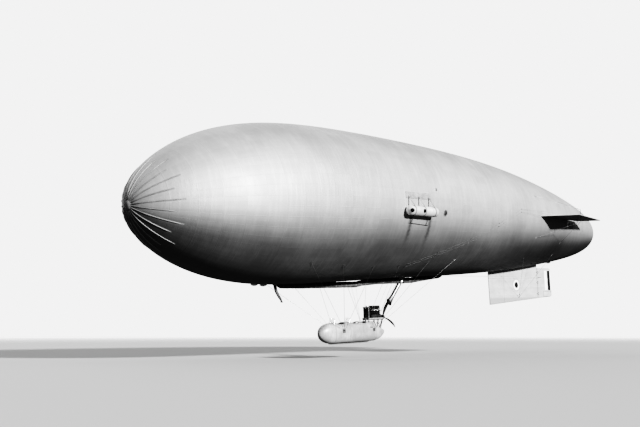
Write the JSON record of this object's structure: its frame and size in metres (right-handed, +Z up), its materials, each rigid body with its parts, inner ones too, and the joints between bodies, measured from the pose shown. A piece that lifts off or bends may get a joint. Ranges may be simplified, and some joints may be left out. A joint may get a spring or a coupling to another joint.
{
  "type": "small non-rigid patrol airship with boat-shaped car, 1:2 scale model",
  "caption": "Streamlined gas envelope with tail planes, rudder and elevators, and a boat-shaped car with a pusher engine slung below.",
  "frame": {"origin": "centre of lift, on the envelope's centre line 9.6 m aft of the nose; the ship hangs from it in the air", "axes": "+X aft from nose to tail, -Y to port, +Z up"},
  "size_m": [21.88, 5.67, 6.3694],
  "materials": {
    "envelope_dope": "silver-doped rubbered cotton, semi-gloss",
    "duct_fabric": "rubbered fabric, matte",
    "plane_fabric": "doped linen over ribs, matte",
    "batten_fabric": "canes under doped fabric",
    "tank_metal": "pale paint, semi-gloss",
    "car_paint": "pale paint on sheet and plywood",
    "ash_wood": "varnished",
    "leather": "padded",
    "black_iron": "blackened",
    "brass": "dull",
    "steel": "dull",
    "celluloid": "clear",
    "webbing": "doped webbing"
  },
  "bodies": {
    "ship": {"envelope": "envelope_dope", "crown_gas_valve": "steel", "forward_air_valve": "steel", "second_air_valve": "steel", "aft_gas_valve": "steel", "filling_sleeve": "duct_fabric", "nose_battens": "batten_fabric", "air_scoop": "steel", "forward_duct": "duct_fabric", "aft_duct": "duct_fabric", "port_stabiliser": "plane_fabric", "starboard_stabiliser": "plane_fabric", "lower_fin": "plane_fabric", "port_upper_stays": "steel", "port_lower_stays": "steel", "starboard_upper_stays": "steel", "starboard_lower_stays": "steel", "port_fin_stays": "steel", "starboard_fin_stays": "steel", "port_petrol_tank": "tank_metal", "port_tank_sling": "webbing", "starboard_petrol_tank": "tank_metal", "starboard_tank_sling": "webbing", "car_bow": "car_paint", "car_hull": "car_paint", "car_deck": "car_paint", "car_tail": "car_paint", "front_coaming": "leather", "front_seat": "leather", "front_windscreen": "celluloid", "pilot_coaming": "leather", "pilot_seat": "leather", "pilot_windscreen": "celluloid", "engineer_coaming": "leather", "engineer_seat": "leather", "instrument_board": "ash_wood", "pilot_wheel": "ash_wood", "keel_skid": "ash_wood", "engine_bearers": "ash_wood", "engine": "black_iron", "radiator": "brass", "exhaust_pipe": "black_iron", "port_forward_suspension": "steel", "port_aft_suspension": "steel", "starboard_forward_suspension": "steel", "starboard_aft_suspension": "steel"},
    "port_elevator": {"port_elevator": "plane_fabric"},
    "starboard_elevator": {"starboard_elevator": "plane_fabric"},
    "rudder": {"rudder": "plane_fabric"},
    "propeller": {"propeller": "ash_wood"}
  },
  "joints": [
    {"name": "port_elevator_hinge", "type": "hinge", "parent": "ship", "child": "port_elevator", "pos_m": [8.4, -1.96, -0.074], "axis": [0, 1, 0], "range_deg": [-25, 25]},
    {"name": "starboard_elevator_hinge", "type": "hinge", "parent": "ship", "child": "starboard_elevator", "pos_m": [8.4, 1.96, -0.074], "axis": [0, 1, 0], "range_deg": [-25, 25]},
    {"name": "rudder_hinge", "type": "hinge", "parent": "ship", "child": "rudder", "pos_m": [8.4, 0, -2.34], "axis": [0, 0, 1], "range_deg": [-28, 28]},
    {"name": "propeller_shaft", "type": "hinge", "parent": "ship", "child": "propeller", "pos_m": [-0.44, 0, -3.379], "axis": [1, 0, 0], "continuous": true}
  ],
  "couplings": [
    {"joint": "starboard_elevator_hinge", "follows": "port_elevator_hinge", "ratio": 1}
  ]
}
